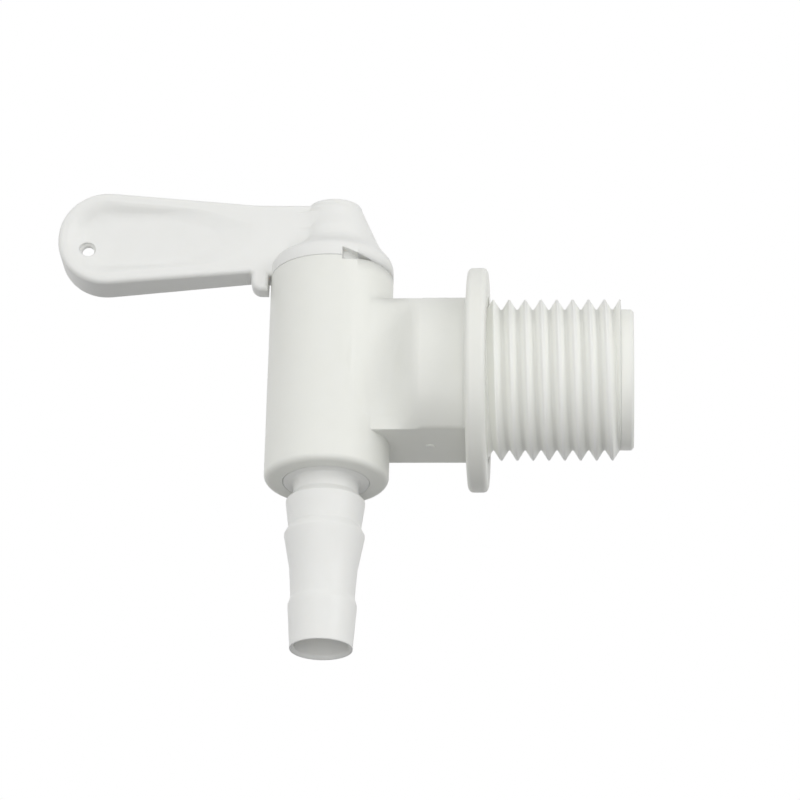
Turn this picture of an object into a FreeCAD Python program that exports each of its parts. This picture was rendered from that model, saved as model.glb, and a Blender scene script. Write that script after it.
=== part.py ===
import FreeCAD, Part
import math
import os

# Bottling bucket spigot: a moulded body with a threaded tail, and a turning
# valve moulded in one with its lever, head, hollow plug and barbed outlet.
# Millimetres. The origin is the centre of the flange's sealing face, on the
# thread's axis. +X runs along the thread into the bucket, +Z is up, and the
# barrel's axis is vertical, on the other side of the flange.

# Threaded tail
thread_diameter = 24.0
thread_pitch = 2.36
thread_depth = 1.5
thread_crest = 0.2
thread_root = 0.25
thread_start = 0.0
tail_length = 21.6
tail_lead = 1.9
tail_end_bevel = 0.4
inlet_diameter = 16.4

# Flange
flange_diameter = 33.5
flange_thickness = 3.0
flange_round = 0.8
flange_root_bevel = 0.4
seat_relief = 0.2
seat_clearance = 0.4

# Arm between the flange and the barrel
arm_diameter = 24.75
arm_length = 6.7
arm_flat_height = 21.4
neck_top_drop = 0.33
neck_waist_width = 13.7
neck_waist_reach = 8.3
neck_flare = 0.075
inlet_floor_wall = 2.4

# Barrel
barrel_distance = 23.8
barrel_diameter = 18.5
barrel_height = 33.2
barrel_foot_round = 1.0
barrel_rim_bevel = 0.1
barrel_mouth_bevel = 0.4
wall_port_diameter = 9.0

# Plug of the valve, which turns in the barrel
plug_diameter = 12.8
plug_clearance = 0.05
plug_port_diameter = 7.6
plug_cap_wall = 0.8
bead_height = 0.2
bead_width = 1.2
bead_rise = 1.6
bead_clearance = 0.1

# Head of the valve
head_gap = 0.05
head_diameter = 18.5
head_band = 0.8
head_neck_length = 13.8
head_neck_width = 9.9
head_neck_rise = 5.7
head_top_length = 8.6
head_top_width = 7.0
head_neck_lean = 0.95
head_post_lean = 0.1
head_height = 12.6
head_top_round = 1.1
web_reach = 8.5
web_root_thickness = 6.8
notch_height = 1.3
notch_drop = 0.7
notch_depth = 1.5
notch_start_angle = 13.0
notch_end_angle = 45.0

# Lever
lever_reach = 41.8
lever_rise = 6.16
lever_root_distance = 10.0
lever_root_height = 11.15
lever_taper_angle = 5.0
lever_level_distance = 11.5
lever_level_round = 30.0
lever_root_thickness = 5.0
lever_end_thickness = 6.2
lever_round = 0.8
heel_reach = 12.15
heel_drop = 2.5
heel_thickness = 2.9
heel_round = 1.6
heel_inner_round = 0.4
heel_clearance = 0.3
dish_margin = 1.8
dish_root_distance = 11.0
dish_root_depth = 0.1
dish_root_width = 3.4
dish_root_run = 6.5
dish_shoulder_distance = 19.5
dish_shoulder_run = 5.0
dish_shoulder_round = 18.0
dish_end_depth = 2.05
dish_wall_run = 1.1
dish_root_round = 1.2
hole_inset = 4.4
hole_drop = 1.36
hole_diameter = 1.9
hole_mouth_diameter = 2.4
hole_back_diameter = 3.9

# Barbed outlet; each drop is measured down from the barrel's foot
outlet_length = 26.1
outlet_bore = 8.0
outlet_mouth_bevel = 0.4
outlet_tip_diameter = 9.2
outlet_neck_diameter = 9.7
outlet_neck_round = 1.5
barb_rise = 1.1
barb_edge = 0.3
upper_barb_drop = 3.2
upper_barb_diameter = 11.7
upper_barb_foot_diameter = 10.7
middle_barb_drop = 8.4
middle_barb_diameter = 11.85
middle_barb_foot_diameter = 10.0
middle_barb_length = 5.3
lower_barb_drop = 19.4
lower_barb_diameter = 10.1
lower_barb_neck_diameter = 9.4

# Places that follow from the sizes
barrel_x = -barrel_distance
foot_z = -barrel_height / 2
rim_z = barrel_height / 2
head_z = rim_z + head_gap
head_top_z = rim_z + head_height
tip_z = foot_z - outlet_length
plug_radius = plug_diameter / 2
bore_radius = plug_radius + plug_clearance
root_radius = thread_diameter / 2 - thread_depth
arm_back_x = -flange_thickness - arm_length
lever_z = rim_z + lever_rise
taper = math.tan(math.radians(lever_taper_angle))

V = FreeCAD.Vector
UP = V(0, 0, 1)
ALONG = V(1, 0, 0)


def rounded_edges(corners, place):
    """Edges of a closed outline; a corner's third number is the radius that rounds it.

    place turns a corner's two numbers into a point in space.
    """
    points = [V(corner[0], corner[1], 0) for corner in corners]
    stops = []
    for index, corner in enumerate(corners):
        here = points[index]
        radius = corner[2] if len(corner) > 2 else 0.0
        if radius <= 0:
            stops.append([here])
            continue
        back = (points[index - 1] - here).normalize()
        onward = (points[(index + 1) % len(points)] - here).normalize()
        half = back.getAngle(onward) / 2
        middle = (back + onward).normalize()
        centre = here + middle * (radius / math.sin(half))
        run = radius / math.tan(half)
        stops.append([here + back * run, centre - middle * radius, here + onward * run])
    edges = []
    for index, stop in enumerate(stops):
        spots = [place(point.x, point.y) for point in stop]
        if len(spots) == 3:
            edges.append(Part.Arc(spots[0], spots[1], spots[2]).toShape())
        after = stops[(index + 1) % len(stops)][0]
        target = place(after.x, after.y)
        if spots[-1].distanceToPoint(target) > 1e-6:
            edges.append(Part.makeLine(spots[-1], target))
    return edges


def outline_wire(corners, place):
    return Part.Wire(rounded_edges(corners, place))


def turned(corners, place, base, direction):
    """A solid of revolution: the outline swept all the way round an axis."""
    return Part.Face(outline_wire(corners, place)).revolve(base, direction, 360)


def about_barrel(radius, z):
    return V(barrel_x + radius, 0, z)


def about_thread(x, radius):
    return V(x, 0, radius)


def turned_about_barrel(corners):
    return turned(corners, about_barrel, V(barrel_x, 0, 0), UP)


def turned_about_thread(corners):
    return turned(corners, about_thread, V(0, 0, 0), ALONG)


def barrel_solid():
    radius = barrel_diameter / 2
    return turned_about_barrel([
        (0, foot_z),
        (radius, foot_z, barrel_foot_round),
        (radius, rim_z - barrel_rim_bevel),
        (radius - barrel_rim_bevel, rim_z),
        (0, rim_z),
    ])


def neck_half_width(x):
    """Half the neck's width: flared at the barrel, narrowest at its waist, as round as the arm at its end."""
    waist_x = barrel_x + neck_waist_reach
    waist = neck_waist_width / 2
    if x < waist_x:
        return waist + neck_flare * (waist_x - x) ** 2
    share = (x - waist_x) / (arm_back_x - waist_x)
    ease = share * share * (3 - 2 * share)
    return waist + (arm_diameter / 2 - waist) * ease


def neck_section(x):
    """Flat top and bottom, joined by a bulging side arc in front and behind."""
    radius = arm_diameter / 2
    high = arm_flat_height / 2 - neck_top_drop
    low = -arm_flat_height / 2
    high_corner = math.sqrt(radius ** 2 - high ** 2)
    low_corner = math.sqrt(radius ** 2 - low ** 2)
    side = neck_half_width(x)
    front = Part.Arc(V(x, -high_corner, high), V(x, -side, 0), V(x, -low_corner, low)).toShape()
    below = Part.makeLine(V(x, -low_corner, low), V(x, low_corner, low))
    behind = Part.Arc(V(x, low_corner, low), V(x, side, 0), V(x, high_corner, high)).toShape()
    above = Part.makeLine(V(x, high_corner, high), V(x, -high_corner, high))
    return Part.Wire([front, below, behind, above])


def neck_solid():
    """Neck that swells from a narrow waist beside the barrel to the arm's full roundness."""
    waist_x = barrel_x + neck_waist_reach
    run = arm_back_x - waist_x
    stops = [waist_x - share * neck_waist_reach for share in (0.6, 0.45, 0.3, 0.15)]
    stops += [waist_x + share * run for share in (0.0, 0.17, 0.34, 0.5, 0.66, 0.83, 1.0)]
    return Part.makeLoft([neck_section(x) for x in stops], True)


def arm_solid():
    """Round arm with a flat on top and a flat below, and a small bevel where it meets the flange."""
    radius = arm_diameter / 2
    inside_x = -flange_thickness / 2
    core = turned_about_thread([
        (arm_back_x, 0),
        (arm_back_x, radius),
        (-flange_thickness - flange_root_bevel, radius),
        (-flange_thickness, radius + flange_root_bevel),
        (inside_x, radius + flange_root_bevel),
        (inside_x, 0),
    ])
    wide = 2 * radius
    slab = Part.makeBox(inside_x - arm_back_x, 2 * wide, arm_flat_height)
    slab.translate(V(arm_back_x, -wide, -arm_flat_height / 2))
    return core.common(slab)


def flange_tail_solid():
    """Flange and tail in one turning; a shallow relief keeps the thread clear of the sealing face."""
    seat_radius = thread_diameter / 2 + seat_clearance
    flange_radius = flange_diameter / 2
    return turned_about_thread([
        (-flange_thickness, 0),
        (-flange_thickness, flange_radius, flange_round),
        (0, flange_radius, flange_round),
        (0, seat_radius),
        (-seat_relief, seat_radius),
        (-seat_relief, root_radius),
        (tail_length - tail_end_bevel, root_radius),
        (tail_length, root_radius - tail_end_bevel),
        (tail_length, 0),
    ])


def thread_ridge():
    """Right-handed V ridge, wound from inside the flange and cut off before the plain lead."""
    half_base = (thread_pitch - thread_root) / 2
    half_crest = thread_crest / 2
    half_deep = half_base + thread_root / 4
    crest_radius = thread_diameter / 2
    deep_radius = root_radius - (half_deep - half_base) * thread_depth / (half_base - half_crest)
    start = thread_start - 1.25 * thread_pitch
    turns = math.ceil((tail_length - start) / thread_pitch)
    helix = Part.makeHelix(thread_pitch, turns * thread_pitch, root_radius)
    section = Part.makePolygon([
        V(deep_radius, 0, -half_deep),
        V(crest_radius, 0, -half_crest),
        V(crest_radius, 0, half_crest),
        V(deep_radius, 0, half_deep),
        V(deep_radius, 0, -half_deep),
    ])
    sweep = Part.BRepOffsetAPI.MakePipeShell(helix)
    sweep.setFrenetMode(True)
    sweep.add(section)
    sweep.build()
    sweep.makeSolid()
    ridge = sweep.shape()
    ridge.rotate(V(0, 0, 0), V(0, 1, 0), 90)
    ridge.translate(V(start, 0, 0))
    buried = flange_thickness / 2
    length = buried + tail_length - tail_lead
    span = Part.makeCylinder(crest_radius + 1, length, V(-buried, 0, 0), ALONG)
    return ridge.common(span)


def flow_passages():
    """Inlet bore, the port through the barrel's wall, and the barrel's bore with its snap groove."""
    floor_x = barrel_x + barrel_diameter / 2 + inlet_floor_wall
    inlet = Part.makeCylinder(inlet_diameter / 2, tail_length + 1 - floor_x, V(floor_x, 0, 0), ALONG)
    port = Part.makeCylinder(wall_port_diameter / 2, floor_x + 1 - barrel_x, V(barrel_x, 0, 0), ALONG)
    groove_radius = plug_radius + bead_height + bead_clearance
    groove_low = foot_z + bead_rise - bead_clearance
    groove_high = foot_z + bead_rise + bead_width + bead_clearance
    slope = groove_radius - bore_radius
    bore = turned_about_barrel([
        (0, foot_z - 1),
        (bore_radius, foot_z - 1),
        (bore_radius, groove_low),
        (groove_radius, groove_low + slope),
        (groove_radius, groove_high - slope),
        (bore_radius, groove_high),
        (bore_radius, rim_z - barrel_mouth_bevel),
        (bore_radius + barrel_mouth_bevel, rim_z),
        (bore_radius + barrel_mouth_bevel, rim_z + 1),
        (0, rim_z + 1),
    ])
    return inlet.fuse([port, bore])


def spigot_body():
    shape = barrel_solid().fuse([neck_solid(), arm_solid(), flange_tail_solid(), thread_ridge()])
    return shape.cut([flow_passages(), rim_notch(rim_z, -notch_drop)]).removeSplitter()


def head_section(z, length, width, lean):
    """Level outline of the head: a circle low down, an oval in line with the lever higher up."""
    middle = V(barrel_x + lean, 0, z)
    if abs(length - width) < 1e-6:
        return Part.Wire([Part.Circle(middle, UP, length / 2).toShape()])
    return Part.Wire([Part.Ellipse(middle, length / 2, width / 2).toShape()])


def head_crown():
    """Shoulder that draws in to an oval post, with a hollow sweep between the two.

    The post leans away from the lever: it keeps its reach on the far side and is shorter on the lever's side.
    """
    band_z = rim_z + head_band
    neck_z = rim_z + head_neck_rise
    rise = neck_z - band_z
    post_z = head_top_z - head_top_round
    levels = [(band_z, head_diameter, head_diameter, 0.0)]
    for share, ease, side_ease in (
        (0.1, 0.0, 0.004), (0.2, 0.015, 0.02), (0.32, 0.08, 0.09), (0.48, 0.28, 0.31),
        (0.66, 0.56, 0.62), (0.84, 0.82, 0.87), (1.0, 1.0, 1.0),
    ):
        lean = head_neck_lean * ease
        reach = head_diameter / 2 + (head_neck_length / 2 - head_diameter / 2) * ease
        width = head_diameter + (head_neck_width - head_diameter) * side_ease
        levels.append((band_z + share * rise, 2 * (reach - lean), width, lean))
    for share in (0.15, 0.45, 0.75, 1.0):
        lean = head_neck_lean + (head_post_lean - head_neck_lean) * share
        reach = (head_neck_length + (head_top_length - head_neck_length) * share) / 2
        width = head_neck_width + (head_top_width - head_neck_width) * share
        levels.append((neck_z + share * (post_z - neck_z), 2 * (reach - lean), width, lean))
    crown = Part.makeLoft([head_section(*level) for level in levels], True)
    length, width, lean = levels[-1][1:]
    edge = []
    for degrees in (0, 22.5, 45, 67.5, 90):
        drop = head_top_round * (1 - math.sin(math.radians(degrees)))
        inset = head_top_round * (1 - math.cos(math.radians(degrees)))
        edge.append(head_section(head_top_z - drop, length - 2 * inset, width - 2 * inset, lean))
    return crown.fuse(Part.makeLoft(edge, True))


def web_section(distance, half):
    """Upright section of the web between the head's post and the lever."""
    x = barrel_x - distance
    low_z = rim_z + head_band
    high_z = lever_z + lever_half_height(lever_level_distance) - 1.6
    top_z = high_z + 1.2
    low_half = half + 0.45
    narrow = half - 1.0
    corners = [
        V(x, -low_half, low_z),
        V(x, -half, high_z),
        V(x, -narrow, top_z),
        V(x, narrow, top_z),
        V(x, half, high_z),
        V(x, low_half, low_z),
        V(x, -low_half, low_z),
    ]
    return Part.makePolygon(corners)


def lever_web():
    """Hollow-sided web that carries the head's post over into the thinner lever."""
    thin = lever_half_thickness(web_reach) - 0.6
    thick = web_root_thickness / 2
    sections = []
    for share, ease in ((0.08, 1.0), (0.25, 0.9), (0.42, 0.67), (0.6, 0.45), (0.8, 0.2), (1.0, 0.0)):
        sections.append(web_section(share * web_reach, thin + (thick - thin) * ease))
    return Part.makeLoft(sections, True)


def valve_core():
    """Head's band, plug and barbed outlet, turned about the barrel's axis."""
    head_radius = head_diameter / 2
    bead_radius = plug_radius + bead_height
    bead_low = foot_z + bead_rise
    bead_high = bead_low + bead_width
    upper_z = foot_z - upper_barb_drop
    middle_z = foot_z - middle_barb_drop
    lower_z = foot_z - lower_barb_drop
    return turned_about_barrel([
        (0, rim_z + head_band),
        (head_radius, rim_z + head_band),
        (head_radius, head_z),
        (plug_radius, head_z),
        (plug_radius, bead_high),
        (bead_radius, bead_high - bead_height),
        (bead_radius, bead_low + bead_height),
        (plug_radius, bead_low),
        (plug_radius, foot_z),
        (outlet_neck_diameter / 2, foot_z, outlet_neck_round),
        (outlet_neck_diameter / 2, upper_z + barb_rise),
        (upper_barb_diameter / 2, upper_z),
        (upper_barb_diameter / 2, upper_z - barb_edge),
        (upper_barb_foot_diameter / 2, middle_z + barb_rise),
        (middle_barb_diameter / 2, middle_z),
        (middle_barb_diameter / 2, middle_z - barb_edge),
        (middle_barb_foot_diameter / 2, middle_z - middle_barb_length),
        (lower_barb_neck_diameter / 2, lower_z + barb_rise),
        (lower_barb_diameter / 2, lower_z),
        (lower_barb_diameter / 2, lower_z - barb_edge),
        (outlet_tip_diameter / 2, tip_z),
        (0, tip_z),
    ])


def outlet_passage():
    """Bore up the outlet into the plug, and the plug's side port, which faces the inlet when open."""
    top_z = plug_port_diameter / 2 + plug_cap_wall
    bore = Part.makeCylinder(outlet_bore / 2, top_z - tip_z + 1, V(barrel_x, 0, tip_z - 1), UP)
    port = Part.makeCylinder(plug_port_diameter / 2, plug_radius + 1, V(barrel_x, 0, 0), ALONG)
    radius = outlet_bore / 2
    mouth = Part.makeCone(radius + outlet_mouth_bevel, radius, outlet_mouth_bevel, V(barrel_x, 0, tip_z), UP)
    return bore.fuse([port, mouth])


def rim_notch(edge_z, height):
    """Wedge-shaped notch at a level edge, tall at one end and thinning to nothing; a negative height cuts down."""
    head_radius = head_diameter / 2
    start_x = barrel_x + head_radius * math.sin(math.radians(notch_start_angle))
    end_x = barrel_x + head_radius * math.sin(math.radians(notch_end_angle))
    outside = edge_z - math.copysign(head_gap, height)
    wedge = Part.makePolygon([
        V(start_x, 0, outside),
        V(start_x, 0, edge_z + height),
        V(end_x, 0, edge_z),
        V(end_x, 0, outside),
        V(start_x, 0, outside),
    ])
    block = Part.Face(wedge).extrude(V(0, -2 * head_radius, 0))
    tall = 2 * (abs(height) + 1)
    core = Part.makeCylinder(head_radius - notch_depth, tall, V(barrel_x, 0, edge_z - tall / 2), UP)
    return block.cut(core)


def lever_half_height(distance):
    return lever_root_height / 2 + (distance - lever_root_distance) * taper


def lever_half_thickness(distance):
    slope = (lever_end_thickness - lever_root_thickness) / (lever_reach - lever_root_distance)
    return (lever_root_thickness + (distance - lever_root_distance) * slope) / 2


def end_radius(half_at_axis, half_at_end, reach):
    """Radius of the circle that touches both tapered edges and the end of a blade this long."""
    angle = math.atan((half_at_end - half_at_axis) / reach)
    return (half_at_axis * math.cos(angle) + reach * math.sin(angle)) / (1 + math.sin(angle))


def lever_blade():
    """Tapered blade with a round end, a level top beside the head and a heel that hangs beside the barrel's rim."""
    top_end = lever_half_height(lever_reach)
    round_end = 0.97 * end_radius(lever_half_height(0), top_end, lever_reach)
    level_z = lever_z + lever_half_height(lever_level_distance)
    heel_z = rim_z - heel_drop
    heel_inner = barrel_diameter / 2 + heel_clearance
    outline = [
        (0, level_z),
        (lever_level_distance, level_z, lever_level_round),
        (lever_reach, lever_z + top_end, round_end),
        (lever_reach, lever_z - top_end, round_end),
        (heel_reach, lever_z - lever_half_height(heel_reach), heel_inner_round),
        (heel_reach, heel_z, heel_round),
        (heel_inner, heel_z),
        (heel_inner, head_z),
        (0, head_z),
    ]
    wide = lever_end_thickness
    side = Part.Face(outline_wire(outline, lambda d, z: V(barrel_x - d, -wide, z)))
    profile = side.extrude(V(0, 2 * wide, 0))
    far = lever_reach + 1
    plan = Part.makePolygon([
        V(barrel_x, -lever_half_thickness(0), heel_z - 1),
        V(barrel_x - far, -lever_half_thickness(far), heel_z - 1),
        V(barrel_x - far, lever_half_thickness(far), heel_z - 1),
        V(barrel_x, lever_half_thickness(0), heel_z - 1),
        V(barrel_x, -lever_half_thickness(0), heel_z - 1),
    ])
    tall = head_top_z + lever_reach - heel_z
    blade = profile.common(Part.Face(plan).extrude(V(0, 0, tall)))
    return blade.makeFillet(lever_round, long_edges(blade))


def long_edges(blade):
    """Edges round both broad faces of the blade, without those buried in the head."""
    buried = barrel_x - barrel_diameter / 2
    chosen = []
    for edge in blade.Edges:
        box = edge.BoundBox
        flat_across = box.YLength < 0.5 * lever_root_thickness
        outside = box.XMin < buried - 0.05
        not_seam = box.XLength + box.ZLength > 1e-3
        if flat_across and outside and not_seam:
            chosen.append(edge)
    return chosen


def dish_section(share, spread):
    """One level of the dish, from 0 at the lever's face to 1 at its floor, widened by spread."""
    def depth(distance):
        slope = (dish_end_depth - dish_root_depth) / (lever_reach - dish_root_distance)
        return dish_root_depth + (distance - dish_root_distance) * slope

    def inset(distance):
        return dish_margin + dish_wall_run * depth(distance) * spread

    def half(distance):
        return lever_half_height(distance) - inset(distance)

    root = dish_root_distance + dish_root_run * share
    end = lever_reach - inset(lever_reach)
    root_half = dish_root_width / 2 - 0.3 * spread
    shoulder = dish_shoulder_distance + dish_shoulder_run * share
    round_end = 0.95 * end_radius(half(0), half(end), end)
    outline = [
        (root, lever_z + root_half, dish_root_round),
        (shoulder, lever_z + half(shoulder), dish_shoulder_round),
        (end, lever_z + half(end), round_end),
        (end, lever_z - half(end), round_end),
        (shoulder, lever_z - half(shoulder), dish_shoulder_round),
        (root, lever_z - root_half, dish_root_round),
    ]

    def place(distance, z):
        return V(barrel_x - distance, share * depth(distance) - lever_half_thickness(distance), z)

    return outline_wire(outline, place)


def lever_dish():
    """Shallow dish in the lever's front face, deeper towards its end, with soft walls."""
    levels = [(-0.2, -0.6), (0.03, -0.1), (0.2, 0.2), (0.75, 0.75), (0.95, 1.15), (1.0, 1.7)]
    sections = [dish_section(share, spread) for share, spread in levels]
    return Part.makeLoft(sections, True, True)


def lever_hole():
    """Hanging hole through the lever's web, opened out at both faces."""
    hole_distance = lever_reach - hole_inset
    x = barrel_x - hole_distance
    z = lever_z - hole_drop
    wide = lever_end_thickness
    radius = hole_diameter / 2
    hole = Part.makeCylinder(radius, 2 * wide, V(x, -wide, z), V(0, 1, 0))
    web = lever_half_thickness(hole_distance) - dish_end_depth
    solids = [hole]
    for side, mouth in ((-1, hole_mouth_diameter / 2), (1, hole_back_diameter / 2)):
        flare = mouth - radius
        inward = V(0, -side, 0)
        solids.append(Part.makeCone(mouth, radius, flare, V(x, side * web, z), inward))
        solids.append(Part.makeCylinder(mouth, wide, V(x, side * web, z), V(0, side, 0)))
    return solids[0].fuse(solids[1:])


def heel_relief():
    """Block that thins the heel from behind, so that only its front part hangs below the lever."""
    under_z = lever_z - lever_half_height(heel_reach)
    tall = under_z - rim_z + heel_drop + 1
    wide = lever_end_thickness
    behind_y = heel_thickness - lever_half_thickness(heel_reach)
    start_x = barrel_x - heel_reach - 1
    run = heel_reach + 1 - barrel_diameter / 2
    return Part.makeBox(run, wide, tall, V(start_x, behind_y, under_z - tall))


def valve_rotor():
    blade = lever_blade()
    front_dish = lever_dish()
    back_dish = front_dish.mirror(V(0, 0, 0), V(0, 1, 0))
    blade = blade.cut([front_dish, back_dish, lever_hole(), heel_relief()])
    core = valve_core().fuse(head_crown()).cut(rim_notch(head_z, notch_height))
    return core.fuse([blade, lever_web()]).cut(outlet_passage()).removeSplitter()


def save(shape, name):
    if shape.ShapeType != "Solid":
        shape = shape.Solids[0] if len(shape.Solids) == 1 else shape
    shape.exportStep(os.path.join("parts", name + ".step"))


os.makedirs("parts", exist_ok=True)
save(spigot_body(), "spigot_body")
save(valve_rotor(), "valve_rotor")
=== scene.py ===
import math

import bmesh
import bpy
import numpy as np
from bpy.props import FloatProperty, FloatVectorProperty, PointerProperty
from bpy.types import Operator, Panel, PropertyGroup
from mathutils import Matrix, Vector


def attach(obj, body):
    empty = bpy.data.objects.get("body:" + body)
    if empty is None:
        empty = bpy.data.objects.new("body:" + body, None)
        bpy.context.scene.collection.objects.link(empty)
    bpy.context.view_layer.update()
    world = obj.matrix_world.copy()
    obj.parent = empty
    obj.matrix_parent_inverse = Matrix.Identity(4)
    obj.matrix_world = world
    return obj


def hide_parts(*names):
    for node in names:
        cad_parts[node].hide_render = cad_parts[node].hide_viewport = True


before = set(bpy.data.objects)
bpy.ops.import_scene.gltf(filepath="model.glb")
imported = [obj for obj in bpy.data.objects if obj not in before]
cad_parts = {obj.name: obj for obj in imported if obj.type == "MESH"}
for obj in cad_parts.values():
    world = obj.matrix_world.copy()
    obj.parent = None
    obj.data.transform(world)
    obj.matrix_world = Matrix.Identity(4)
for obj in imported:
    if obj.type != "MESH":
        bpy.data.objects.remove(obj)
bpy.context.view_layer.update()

bl_info = {
    "name": "Bottling bucket spigot",
    "version": (1, 0, 0),
    "blender": (4, 5, 0),
    "location": "3D View > Sidebar > Spigot",
    "description": "Moulded finish, gate mark, studio and camera of a plastic bucket spigot",
    "category": "Object",
}


# Values that a user can change

def length(name, description, default):
    """A small length in metres, shown in the scene's unit."""
    return FloatProperty(
        name=name, description=description, default=default, min=0.0, precision=6,
        subtype="DISTANCE", unit="LENGTH",
    )


def share(name, description, default):
    """A number from 0 to 1."""
    return FloatProperty(
        name=name, description=description, default=default, min=0.0, max=1.0, subtype="FACTOR",
    )


def colour(name, description, default):
    """A linear colour."""
    return FloatVectorProperty(
        name=name, description=description, default=default, min=0.0, max=1.0, size=3, subtype="COLOR",
    )


def strength(name, description, default):
    """A light's strength as a plain number."""
    return FloatProperty(name=name, description=description, default=default, min=0.0)


def power(name, description, default):
    """A lamp's power in watts."""
    return FloatProperty(name=name, description=description, default=default, min=0.0, unit="POWER")


def angle(name, description, degrees):
    """An angle that is given in degrees."""
    return FloatProperty(
        name=name, description=description, default=math.radians(degrees),
        subtype="ANGLE", unit="ROTATION",
    )


class PlasticValues(PropertyGroup):
    body_colour: colour("Body colour", "White of the moulded body, a little warm", (0.830, 0.836, 0.796))
    valve_colour: colour("Valve colour", "White of the turning valve", (0.834, 0.837, 0.820))
    mottle: share("Mottling", "How far the white darkens in its faint clouds", 0.035)
    cloud_warmth: share("Cloud warmth", "How much further the blue darkens in them", 0.3)
    cloud_size: length("Cloud size", "Size of the faint clouds in the white", 0.0035)

    # Painted light: the thread's crests are painted whiter towards their tips, for the light that comes
    # through their thin ridges
    crest_painted_light: colour(
        "Crest colour", "White of the thread's crests, whose thin plastic lets light through",
        (0.93, 0.936, 0.898),
    )
    crest_radius: length("Crest radius", "Distance of the thread's crests from its axis", 0.012)
    crest_light_start: length(
        "White start", "Where the crests' white begins to show, from the thread's axis", 0.0096,
    )

    roughness: share("Roughness", "Roughness of the moulded surface, on average", 0.42)
    sheen_share: share("Sheen", "How far the roughness varies in large clouds", 0.16)
    sheen_size: length("Sheen size", "Size of those clouds", 0.0077)
    grain_share: share("Grain roughness", "How far the roughness varies with the fine texture", 0.06)
    seam_share: share("Parting line roughness", "How much rougher the parting line is", 0.08)
    grain_size: length("Grain size", "Size of the fine texture left by the mould's steel", 0.0004)
    grain_height: length("Grain height", "Height of the fine texture", 0.0000022)
    ripple_size: length("Ripple size", "Size of the shallow shrinkage ripples", 0.006)
    ripple_height: length("Ripple height", "Height of the shallow shrinkage ripples", 0.00002)
    seam_width: length(
        "Parting line width", "Half the width of the line where the mould's halves met", 0.00009,
    )
    seam_height: length("Parting line height", "Height of that line", 0.000022)

    edge_round: length("Edge softness", "Radius at which sharp edges catch the light", 0.00028)
    thread_round: length("Thread softness", "The same for the thread's ridges", 0.0016)
    thread_start: length("Thread start", "Where that begins, from the flange's sealing face", 0.0014)
    thread_end: length("Thread end", "Where that ends", 0.0186)
    neck_round: length("Neck softness", "The same where the neck widens into the arm", 0.0038)
    neck_start: length("Neck start", "Where that begins, from the sealing face towards the barrel", 0.0118)
    neck_end: length("Neck end", "Where that ends", 0.0195)
    neck_floor: length("Neck floor", "How far that reaches below the thread's axis", 0.0088)
    rim_round: length("Rim softness", "The same at the seam between barrel and head", 0.00008)
    rim_low: length("Rim low", "Where that begins, above the thread's axis", 0.0162)
    rim_high: length("Rim high", "Where that ends", 0.01705)
    rim_side: length("Rim side", "How far that stays from the sealing face", 0.0135)
    notch_left: length(
        "Notch left", "Where the notch, which is left out of that, begins, from the sealing face", 0.0225,
    )
    notch_right: length("Notch right", "Where the notch ends, from the sealing face", 0.0176)
    notch_low: length("Notch low", "Where the notch begins, above the thread's axis", 0.0157)
    notch_high: length("Notch high", "Where the notch ends, above the thread's axis", 0.0182)

    depth: length("Light depth", "How far light spreads under the surface", 0.0009)
    # Painted light: the glows below are emission, not lamps: in the outlet's bore, on the thread's lower
    # ridges, and on the first ridge where the flange shades it
    glow_colour: colour(
        "Glow colour", "Colour of the light that comes through thin plastic", (1.0, 1.0, 0.985),
    )
    bore_glow: share("Bore glow", "Light that comes through the outlet's thin wall into its bore", 0.021)
    bore_radius: length("Bore radius", "Radius of the bore, within which that is seen", 0.00403)
    bore_top: length("Bore top", "How far below the thread's axis that is seen", 0.0195)
    ridge_glow: share(
        "Ridge glow", "Light that comes from above through the thread's ridges, most at the lowest", 0.075,
    )
    corner_glow: share("Corner glow", "Light that comes through the first ridge beside the flange", 0.085)
    corner_reach: length("Corner reach", "How far from the sealing face that is seen", 0.0012)
    corner_radius: length("Corner radius", "How far from the thread's axis that is seen", 0.0122)


class BarrelValues(PropertyGroup):
    distance: length("Distance", "How far the barrel's axis is from the flange's sealing face", 0.0238)
    radius: length("Radius", "Radius of the barrel", 0.00925)
    join_start: length(
        "Join start", "Where the neck begins to rise from the barrel, from the barrel's axis", 0.0032,
    )
    join_end: length("Join end", "Where the neck has its full width", 0.0046)
    rim_rise: length("Rim rise", "How far the barrel's rim is above the thread's axis", 0.0166)
    head_rise: length("Head rise", "The same for the underside of the valve's head", 0.01665)
    seam_gap: length("Seam gap", "Gap that shows between rim and head", 0.00001)
    foot_drop: length("Foot drop", "How far the barrel's foot is below the thread's axis", 0.0166)
    outlet_radius: length("Outlet neck", "Radius of the outlet's neck below the barrel", 0.00485)
    outlet_round: length(
        "Outlet round", "Radius of the round between that neck and the plug's end, in the solid", 0.0015,
    )
    outlet_share: share("Outlet share", "Share of that round that is kept", 0.25)
    notch_radius: length(
        "Notch radius", "How far the notch's back wall is from the barrel's axis, in the solid", 0.00775,
    )
    notch_shown: length("Notch shown", "The same as it shows", 0.0080)


class GateValues(PropertyGroup):
    distance: length("Distance", "How far the gate mark is from the flange's sealing face", 0.0085)
    drop: length("Drop", "How far the arm's flat underside is below the thread's axis", 0.0107)
    radius: length("Radius", "Radius of the mark", 0.00075)
    height: length("Height", "How far the mark stands proud", 0.00018)


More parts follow.
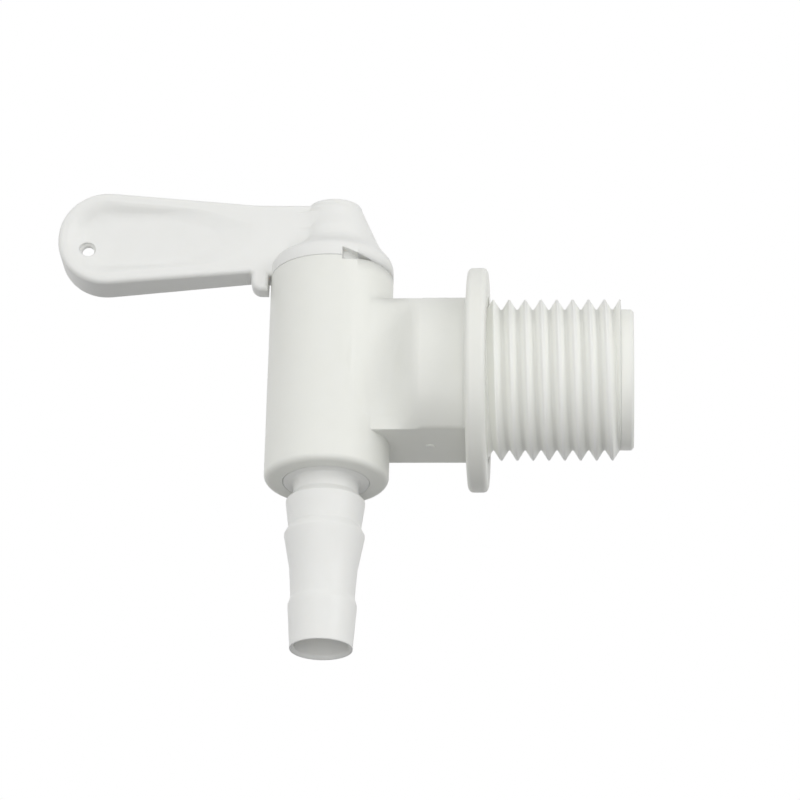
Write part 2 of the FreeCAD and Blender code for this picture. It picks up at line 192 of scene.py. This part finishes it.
class StudioValues(PropertyGroup):
    floor_drop: length("Floor distance", "How far the floor lies below the thread's axis", 0.7)
    floor_size: length("Floor size", "Half the width of the floor", 3.0)
    floor_colour: colour("Floor colour", "Pale floor as the camera sees it", (0.88, 0.88, 0.88))
    floor_bounce: share("Floor bounce", "How much light the floor gives back to the object", 0.455)
    around: strength("Light all round", "Strength of the even light all round", 0.645)
    front: strength("Light in front", "How much stronger it is in front", 0.52)
    right: strength("Light on the right", "How much stronger it is on the right", 0.16)
    left: strength("Light on the left", "How much stronger it is on the left", 0.34)
    above: strength("Shade above", "How much weaker it is above", 0.355)
    key_power: power("Key lamp", "Power of the lamp on the right", 1.4)
    low_power: power("Low lamp", "Power of the lamp below the camera", 2.05)


class CameraValues(PropertyGroup):
    azimuth: angle("Azimuth", "How far the camera stands round to the right of the front", 3.467)
    elevation: angle("Elevation", "How far it stands above the object's level, below it if negative", -24.185)
    roll: angle("Roll", "How far it is turned about its line of sight", 1.292)
    distance: length("Distance", "From the camera to the point that it looks at", 0.538035)
    target: FloatVectorProperty(
        name="Target", description="The point in the middle of the picture",
        default=(-0.013152, 0.0, -0.003187), subtype="TRANSLATION", unit="LENGTH", precision=6,
    )
    lens: FloatProperty(
        name="Lens", description="Focal length in millimetres", default=162.515565, unit="CAMERA",
    )


# Node sums

class Wire:
    """A value that leaves a node's socket; sums and products of wires add their Math nodes."""

    def __init__(self, sheet, socket):
        self.sheet = sheet
        self.socket = socket

    def maths(self, operation, first, second=0.0):
        return self.sheet.add("ShaderNodeMath", {"operation": operation}, {0: first, 1: second})

    def __add__(self, other):
        return self.maths("ADD", self, other)

    def __sub__(self, other):
        return self.maths("SUBTRACT", self, other)

    def __rsub__(self, other):
        return self.maths("SUBTRACT", other, self)

    def __mul__(self, other):
        return self.maths("MULTIPLY", self, other)

    def __truediv__(self, other):
        return self.maths("DIVIDE", self, other)

    def __abs__(self):
        return self.maths("ABSOLUTE", self)

    __radd__ = __add__
    __rmul__ = __mul__

    def at_least(self, other):
        return self.maths("MAXIMUM", self, other)

    def root(self):
        return self.maths("SQRT", self)

    def beyond(self, other):
        """1 where the value is larger, 0 elsewhere."""
        return self.maths("GREATER_THAN", self, other)

    def within(self, low, high):
        """1 where the value lies between two limits, 0 elsewhere."""
        return self.beyond(low) - self.beyond(high)

    def beside(self, name):
        """Another output of the same node."""
        return Wire(self.sheet, self.socket.node.outputs[name])


class NodeSheet:
    """The nodes of one material or of the world."""

    def __init__(self, tree):
        self.tree = tree
        tree.nodes.clear()

    def add(self, kind, settings=None, sockets=None, output=0):
        """Adds a node: its settings first, then a value or a wire for each socket; returns one output."""
        node = self.tree.nodes.new(kind)
        for name, value in (settings or {}).items():
            setattr(node, name, value)
        for key, value in (sockets or {}).items():
            if isinstance(value, Wire):
                self.tree.links.new(value.socket, node.inputs[key])
            else:
                node.inputs[key].default_value = value
        return Wire(self, node.outputs[output]) if len(node.outputs) else None

    def noise(self, place, size, detail, roughness=0.5):
        """Noise from 0 to 1 whose blobs are about this size in metres."""
        return self.add("ShaderNodeTexNoise", {}, {
            "Vector": place, "Scale": 1.0 / size, "Detail": detail, "Roughness": roughness,
        })

    def blend(self, factor, first, second):
        """Colour from the first to the second, each a wire or three numbers."""
        start, end = [side if isinstance(side, Wire) else (*side, 1.0) for side in (first, second)]
        # A Mix node's colours go in at sockets 6 and 7 and come out at 2
        return self.add("ShaderNodeMix", {"data_type": "RGBA"}, {0: factor, 6: start, 7: end}, 2)


# Finishes

# Height in metres that a height of 1 stands for in the bump
BUMP_UNIT = 0.001


def edge_softness(along, high, values):
    """Radius at which the shading is rounded, which depends on the place on the object."""
    ridged = along.within(values.thread_start, values.thread_end)
    necked = along.within(-values.neck_end, -values.neck_start) * high.beyond(-values.neck_floor)
    notched = (
        along.within(-values.notch_left, -values.notch_right)
        * high.within(values.notch_low, values.notch_high)
    )
    rimmed = (
        high.within(values.rim_low, values.rim_high)
        * (1.0 - along.beyond(-values.rim_side)) * (1.0 - notched)
    )
    return (
        ridged * (values.thread_round - values.edge_round)
        + necked * (values.neck_round - values.edge_round)
        + rimmed * (values.rim_round - values.edge_round)
        + values.edge_round
    )


def moulded_plastic(name, white, values, barrel):
    """White polypropylene from a steel mould.

    It has a clouded white, uneven gloss, grain, ripples and a parting line, and where it is thin a little
    light comes through. Painted light is added too: the thread's crests are painted whiter, and emission
    makes the outlet's bore, the lower ridges and the ridge beside the flange glow.
    """
    material = bpy.data.materials.new(name)
    material.use_nodes = True
    sheet = NodeSheet(material.node_tree)
    place = sheet.add("ShaderNodeTexCoord", output="Object")
    across = sheet.add("ShaderNodeSeparateXYZ", {}, {"Vector": place}, "Y")
    along = across.beside("X")
    high = across.beside("Z")
    out = (across * across + high * high).root()

    cloud = sheet.noise(place, values.cloud_size, detail=4.0, roughness=0.6)
    sheen = sheet.noise(place, values.sheen_size, detail=2.0)
    grain = sheet.noise(place, values.grain_size, detail=2.0)
    ripple = sheet.noise(place, values.ripple_size, detail=1.0)
    seam = (1.0 - abs(across) / values.seam_width).at_least(0.0)

    # Painted light: the crests are painted whiter the further they stand from the thread's axis
    crest_light_share = (out - values.crest_light_start) / (values.crest_radius - values.crest_light_start)
    crest_light = along.beyond(0.0) * crest_light_share.at_least(0.0)
    shade = [channel * (1.0 - values.mottle) for channel in white]
    shade[2] *= 1.0 - values.cloud_warmth * values.mottle
    tint = sheet.blend(crest_light, sheet.blend(cloud, white, shade), values.crest_painted_light)

    # Painted light: emission makes the outlet's bore, the ridge beside the flange and the lower ridges glow
    aside = along + barrel.distance
    inside = values.bore_radius - (aside * aside + across * across).root()
    bore = inside.beyond(0.0) * (1.0 - high.beyond(-values.bore_top))
    corner = (
        (1.0 - abs(along) / values.corner_reach).at_least(0.0)
        * out.beyond(values.crest_light_start) * (1.0 - out.beyond(values.corner_radius))
    )
    ridge = crest_light * ((0.0 - high) / values.crest_radius).at_least(0.0)
    through = bore * values.bore_glow + corner * values.corner_glow + ridge * values.ridge_glow

    rough = (
        sheen * values.sheen_share
        + grain * values.grain_share
        + seam * values.seam_share
        + (values.roughness - (values.sheen_share + values.grain_share) / 2)
    )
    height = (
        grain * (values.grain_height / BUMP_UNIT)
        + ripple * (values.ripple_height / BUMP_UNIT)
        + seam * (values.seam_height / BUMP_UNIT)
    )
    soft = sheet.add("ShaderNodeBevel", {"samples": 8}, {"Radius": edge_softness(along, high, values)})
    normal = sheet.add("ShaderNodeBump", {}, {
        "Strength": 1.0, "Distance": BUMP_UNIT, "Height": height, "Normal": soft,
    })
    surface = sheet.add("ShaderNodeBsdfPrincipled", {}, {
        "Base Color": tint,
        "Roughness": rough,
        "Normal": normal,
        # Painted light: the glows from above are given out as emission
        "Emission Color": sheet.blend(through, (0.0, 0.0, 0.0), values.glow_colour),
        "Emission Strength": 1.0,
        "IOR": 1.49,
        "Specular IOR Level": 0.42,
        "Subsurface Weight": 0.18,
        "Subsurface Radius": (1.0, 0.95, 0.85),
        "Subsurface Scale": values.depth,
    })
    sheet.add("ShaderNodeOutputMaterial", {}, {"Surface": surface})
    return material


def pale_floor(values):
    """Matt pale floor; the camera sees it lighter than the object does, so undersides stay in shade."""
    material = bpy.data.materials.new("pale_floor")
    material.use_nodes = True
    sheet = NodeSheet(material.node_tree)
    seen = sheet.add("ShaderNodeLightPath", output="Is Camera Ray")
    tint = sheet.blend(seen, (values.floor_bounce,) * 3, values.floor_colour)
    surface = sheet.add("ShaderNodeBsdfDiffuse", {}, {"Color": tint})
    sheet.add("ShaderNodeOutputMaterial", {}, {"Surface": surface})
    return material


# Surfaces

# How far apart two places may be and still count as one, in metres
SLACK = 2e-6

# Corners that lie this close are merged, and edges shorter than the second length are taken out
MERGE_DISTANCE = 1e-6
SHORT_EDGE = 1e-7

# Edges at which the surface turns by more than this stay crisp
CRISP_ANGLE = math.radians(33.0)


def smooth(mesh):
    """Shades every face of a mesh smooth."""
    mesh.polygons.foreach_set("use_smooth", np.ones(len(mesh.polygons), dtype=bool))


def place_piece(name, mesh, material, body):
    """Puts a finished mesh into the scene as a piece that rides on a body."""
    piece = bpy.data.objects.new(name, mesh)
    bpy.context.scene.collection.objects.link(piece)
    mesh.materials.clear()
    mesh.materials.append(material)
    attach(piece, body)
    return piece


def from_barrel(points, values):
    """Place of each point from the barrel's upright axis, and its distance from that axis."""
    offset = points[:, :2] + np.array([values.distance, 0.0])
    return offset, np.hypot(offset[:, 0], offset[:, 1])


def at_radius(points, values, wanted):
    """The points moved straight to or from the barrel's axis, to the distances that are wanted."""
    offset, radius = from_barrel(points, values)
    scale = wanted / np.maximum(radius, SLACK)
    return np.column_stack([offset * scale[:, None] - np.array([values.distance, 0.0]), points[:, 2]])


def shallow_notch(points, radius, values):
    """Distances from the barrel's axis, with the notch's back wall brought out to soften its shade."""
    wall = (np.abs(radius - values.notch_radius) < SLACK) & (points[:, 2] > 0.0)
    return np.where(wall, values.notch_shown, radius)


def joined_neck(points, values):
    """Points of the body with the neck's first edges drawn in to the barrel.

    A point outside the barrel at distance r from its upright axis comes to R + (r - R) * s * s * (3 - 2 * s).
    R is the barrel's radius, and s runs from 0 at the join's start to 1 at its end, measured along X.
    """
    offset, radius = from_barrel(points, values)
    step = np.clip((offset[:, 0] - values.join_start) / (values.join_end - values.join_start), 0.0, 1.0)
    drawn = values.radius + (radius - values.radius) * step * step * (3.0 - 2.0 * step)
    moved = (radius > values.radius) & (offset[:, 0] > values.join_start) & (step < 1.0)
    return at_radius(points, values, np.where(moved, drawn, shallow_notch(points, radius, values)))


def fitted_valve(points, values):
    """Points of the valve with a tighter round above the outlet's neck, and the head lowered onto the rim.

    A point of the round, at distance r from the barrel's axis and height z, comes to N + (r - N) * k and
    F + (z - F) * k, where N is the neck's radius, F the height of the barrel's foot and k the share kept.
    A point of the head's flat underside comes to the height of the rim plus the seam's gap.
    """
    radius = from_barrel(points, values)[1]
    outside = radius - values.outlet_radius
    below = -values.foot_drop - points[:, 2]
    rounded = (
        (outside > -SLACK) & (outside < values.outlet_round + SLACK)
        & (below > -SLACK) & (below < values.outlet_round + SLACK)
    )
    flat = (np.abs(points[:, 2] - values.head_rise) < SLACK) & (radius < values.radius + SLACK)
    tight = values.outlet_radius + outside * values.outlet_share
    result = at_radius(points, values, np.where(rounded, tight, shallow_notch(points, radius, values)))
    result[rounded, 2] = -values.foot_drop - below[rounded] * values.outlet_share
    result[flat, 2] = values.rim_rise + values.seam_gap
    return result


def merged_skin(node, name, reshape=None):
    """The surface of a CAD node in one closed skin: equal corners merged, smooth inside every crisp edge."""
    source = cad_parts[node].data
    points = np.empty(len(source.vertices) * 3)
    source.vertices.foreach_get("co", points)
    corners = np.empty(len(source.loops), dtype=np.int64)
    source.loops.foreach_get("vertex_index", corners)
    points = points.reshape(-1, 3)
    if reshape:
        points = reshape(points)
    mesh = bpy.data.meshes.new(name)
    mesh.from_pydata(points, [], corners.reshape(-1, 3))
    work = bmesh.new()
    work.from_mesh(mesh)
    bmesh.ops.remove_doubles(work, verts=work.verts, dist=MERGE_DISTANCE)
    bmesh.ops.dissolve_degenerate(work, edges=work.edges, dist=SHORT_EDGE)
    open_edges = sum(1 for edge in work.edges if not edge.is_manifold)
    work.to_mesh(mesh)
    work.free()
    if open_edges:
        raise RuntimeError(f"{name} has {open_edges} open edges")
    smooth(mesh)
    mesh.set_sharp_from_angle(angle=CRISP_ANGLE)
    return mesh


def gate_surface(values, rings=9, sectors=40):
    """Low round stub with a snapped top.

    With b from 0 at the middle to a right angle at the side, and turn t, a point lies at the radius R times
    the sine of b to the power 0.55, and at the height H times the cosine of b to the power 0.45, tilted and
    rippled by cosines of t. A skirt goes down into the arm, and a pole at either end closes the surface.
    """
    side_power = 0.55
    top_power = 0.45
    top_rise = 0.92
    skirt_radii = [1.04, 0.9]
    skirt_heights = [-0.9, -1.1]
    tilt = 0.16
    tilt_turn = 0.6
    ripple = 0.07
    ripple_turn = -1.0
    turn = np.linspace(0.0, 2 * math.pi, sectors, endpoint=False)
    level = np.linspace(0.0, 1.0, rings + 1)[1:]
    bend = level * math.pi / 2
    radii = values.radius * np.concatenate([np.sin(bend) ** side_power, skirt_radii])
    heights = values.height * np.concatenate([np.cos(bend) ** top_power, skirt_heights])
    snapped = 1.0 + tilt * np.cos(turn - tilt_turn) + ripple * np.cos(3 * turn - ripple_turn)
    lift = np.where(heights[:, None] > 0, heights[:, None] * snapped, heights[:, None])
    flat = np.stack([
        radii[:, None] * np.cos(turn),
        radii[:, None] * np.sin(turn),
        lift,
    ], axis=-1).reshape(-1, 3)
    poles = np.array([
        [0.0, 0.0, values.height * top_rise],
        [0.0, 0.0, values.height * skirt_heights[-1]],
    ])
    local = np.vstack([flat, poles])

    outward = np.array([0.0, 0.0, -1.0])
    along = np.array([1.0, 0.0, 0.0])
    sideways = np.cross(outward, along)
    centre = np.array([-values.distance, 0.0, -values.drop])
    points = centre + local @ np.stack([along, sideways, outward])

    index = np.arange(len(radii) * sectors).reshape(-1, sectors)
    following = np.roll(index, -1, axis=1)
    walls = np.stack([index[1:], following[1:], following[:-1], index[:-1]], axis=-1).reshape(-1, 4)
    top, bottom = len(flat), len(flat) + 1
    cap = np.stack([index[0], following[0], np.full(sectors, top)], axis=-1)
    base = np.stack([following[-1], index[-1], np.full(sectors, bottom)], axis=-1)
    mesh = bpy.data.meshes.new("gate_mark")
    mesh.from_pydata(points, [], walls.tolist() + cap.tolist() + base.tolist())
    smooth(mesh)
    return mesh


def moulding(node, name, body, material, reshape=None):
    """One CAD node's merged skin with its finish, in place of the node."""
    piece = place_piece(name, merged_skin(node, name, reshape), material, body)
    even = piece.modifiers.new("even_shading", "WEIGHTED_NORMAL")
    even.keep_sharp = True
    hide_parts(node)
    return piece


# Operators

class SPIGOT_OT_body(Operator):
    """Dress the moulded body: barrel, arm, flange and threaded tail"""
    bl_idname = "spigot.body"
    bl_label = "Body moulding"

    def execute(self, context):
        values = context.scene.spigot_plastic
        barrel = context.scene.spigot_barrel
        plastic = moulded_plastic("body_polypropylene", values.body_colour, values, barrel)
        moulding(
            "spigot_body", "body_moulding", "body", plastic,
            lambda points: joined_neck(points, barrel),
        )
        return {"FINISHED"}


class SPIGOT_OT_valve(Operator):
    """Dress the turning valve: head, lever, plug and barbed outlet"""
    bl_idname = "spigot.valve"
    bl_label = "Valve moulding"

    def execute(self, context):
        values = context.scene.spigot_plastic
        barrel = context.scene.spigot_barrel
        plastic = moulded_plastic("valve_polypropylene", values.valve_colour, values, barrel)
        moulding(
            "valve_rotor", "valve_moulding", "valve", plastic,
            lambda points: fitted_valve(points, barrel),
        )
        return {"FINISHED"}


class SPIGOT_OT_gate(Operator):
    """Add the stub on the arm's underside where the plastic entered the mould"""
    bl_idname = "spigot.gate"
    bl_label = "Gate mark"

    def execute(self, context):
        mesh = gate_surface(context.scene.spigot_gate)
        place_piece("gate_mark", mesh, bpy.data.materials["body_polypropylene"], "body")
        return {"FINISHED"}


# The object's middle, at which the lamps are aimed
MIDDLE = (-0.02, 0.0, -0.005)

# Width of the camera's sensor in millimetres
SENSOR_WIDTH = 36.0


def axes(azimuth, elevation, roll=0.0):
    """Right, up and back of something that looks at the target from this direction."""
    back = Vector((
        math.sin(azimuth) * math.cos(elevation),
        -math.cos(azimuth) * math.cos(elevation),
        math.sin(elevation),
    ))
    right = Vector((math.cos(azimuth), math.sin(azimuth), 0.0))
    up = back.cross(right)
    turned_right = right * math.cos(roll) + up * math.sin(roll)
    turned_up = up * math.cos(roll) - right * math.sin(roll)
    return turned_right, turned_up, back


def aim(thing, target, distance, facing):
    """Stands a lamp or a camera at this distance, looking at the target."""
    right, up, back = facing
    turn = Matrix((right, up, back)).transposed().to_4x4()
    thing.matrix_world = Matrix.Translation(Vector(target) + back * distance) @ turn


def lamp(name, azimuth, elevation, distance, size, power):
    """Large soft lamp at this direction in degrees from the object's middle."""
    data = bpy.data.lights.new(name, "AREA")
    data.shape = "DISK"
    data.size = size
    data.energy = power
    thing = bpy.data.objects.new(name, data)
    thing.visible_camera = False
    bpy.context.scene.collection.objects.link(thing)
    aim(thing, MIDDLE, distance, axes(math.radians(azimuth), math.radians(elevation)))


def white_surroundings(values):
    """Soft light all round, stronger in front and at the sides, weaker above; the camera sees plain white."""
    world = bpy.data.worlds.new("white_surroundings")
    world.use_nodes = True
    sheet = NodeSheet(world.node_tree)
    seen = sheet.add("ShaderNodeLightPath", output="Is Camera Ray")
    plain = seen.at_least(seen.beside("Is Glossy Ray")).at_least(seen.beside("Is Transmission Ray"))
    ray = sheet.add("ShaderNodeTexCoord", output="Generated")
    split = sheet.add("ShaderNodeSeparateXYZ", {}, {"Vector": ray}, "X")
    right = split.at_least(0.0)
    left = (0.0 - split).at_least(0.0)
    ahead = (0.0 - split.beside("Y")).at_least(0.0)
    up = split.beside("Z").at_least(0.0)
    soft = (
        ahead * ahead * values.front
        + right * right * values.right
        + left * left * values.left
        - up * up * values.above
        + values.around
    )
    light = sheet.add("ShaderNodeBackground", {}, {
        "Color": (1.0, 1.0, 1.0, 1.0), "Strength": plain + (1.0 - plain) * soft,
    })
    sheet.add("ShaderNodeOutputWorld", {}, {"Surface": light})
    bpy.context.scene.world = world


def floor_sheet(values):
    """Large flat square below the object."""
    half = values.floor_size
    corners = np.array([[-half, -half], [half, -half], [half, half], [-half, half]])
    points = np.column_stack([corners, np.full(4, -values.floor_drop)])
    mesh = bpy.data.meshes.new("floor")
    mesh.from_pydata(points, [], [[0, 1, 2, 3]])
    mesh.materials.append(pale_floor(values))
    floor = bpy.data.objects.new("floor", mesh)
    bpy.context.scene.collection.objects.link(floor)


class SPIGOT_OT_stage(Operator):
    """Add the floor, the soft light and the camera at the photograph's viewing angle"""
    bl_idname = "spigot.stage"
    bl_label = "Studio and camera"

    def execute(self, context):
        values = context.scene.spigot_studio
        floor_sheet(values)
        white_surroundings(values)
        lamp("key_lamp", azimuth=52.0, elevation=18.0, distance=0.9, size=0.45, power=values.key_power)
        lamp("low_lamp", azimuth=0.0, elevation=-28.0, distance=0.9, size=0.6, power=values.low_power)
        view = context.scene.spigot_camera
        data = bpy.data.cameras.new("camera")
        data.sensor_width = SENSOR_WIDTH
        data.lens = view.lens
        data.clip_start = 0.01
        data.clip_end = 20.0
        camera = bpy.data.objects.new("camera", data)
        context.scene.collection.objects.link(camera)
        aim(camera, view.target, view.distance, axes(view.azimuth, view.elevation, view.roll))
        context.scene.camera = camera
        context.scene.view_settings.view_transform = "Standard"
        return {"FINISHED"}


class SPIGOT_PT_panel(Panel):
    """Lists the spigot's pieces and the values that change them"""
    bl_idname = "SPIGOT_PT_panel"
    bl_label = "Bottling bucket spigot"
    bl_space_type = "VIEW_3D"
    bl_region_type = "UI"
    bl_category = "Spigot"

    def draw(self, context):
        scene = context.scene
        sections = (
            ("Plastic", scene.spigot_plastic, (SPIGOT_OT_body, SPIGOT_OT_valve)),
            ("Barrel", scene.spigot_barrel, ()),
            ("Gate mark", scene.spigot_gate, (SPIGOT_OT_gate,)),
            ("Studio", scene.spigot_studio, (SPIGOT_OT_stage,)),
            ("Camera", scene.spigot_camera, ()),
        )
        for title, values, steps in sections:
            box = self.layout.box()
            box.label(text=title)
            for name in values.__annotations__:
                box.prop(values, name)
            for step in steps:
                box.operator(step.bl_idname)


groups = {
    "spigot_plastic": PlasticValues,
    "spigot_barrel": BarrelValues,
    "spigot_gate": GateValues,
    "spigot_studio": StudioValues,
    "spigot_camera": CameraValues,
}
operators = (SPIGOT_OT_body, SPIGOT_OT_valve, SPIGOT_OT_gate, SPIGOT_OT_stage)


def register():
    for name, group in groups.items():
        bpy.utils.register_class(group)
        setattr(bpy.types.Scene, name, PointerProperty(type=group))
    for operator in operators:
        bpy.utils.register_class(operator)
    bpy.utils.register_class(SPIGOT_PT_panel)


def unregister():
    bpy.utils.unregister_class(SPIGOT_PT_panel)
    for operator in reversed(operators):
        bpy.utils.unregister_class(operator)
    for name, group in reversed(list(groups.items())):
        delattr(bpy.types.Scene, name)
        bpy.utils.unregister_class(group)


def main():
    register()
    bpy.ops.spigot.stage()
    bpy.ops.spigot.body()
    bpy.ops.spigot.valve()
    bpy.ops.spigot.gate()


if __name__ == "__main__":
    main()
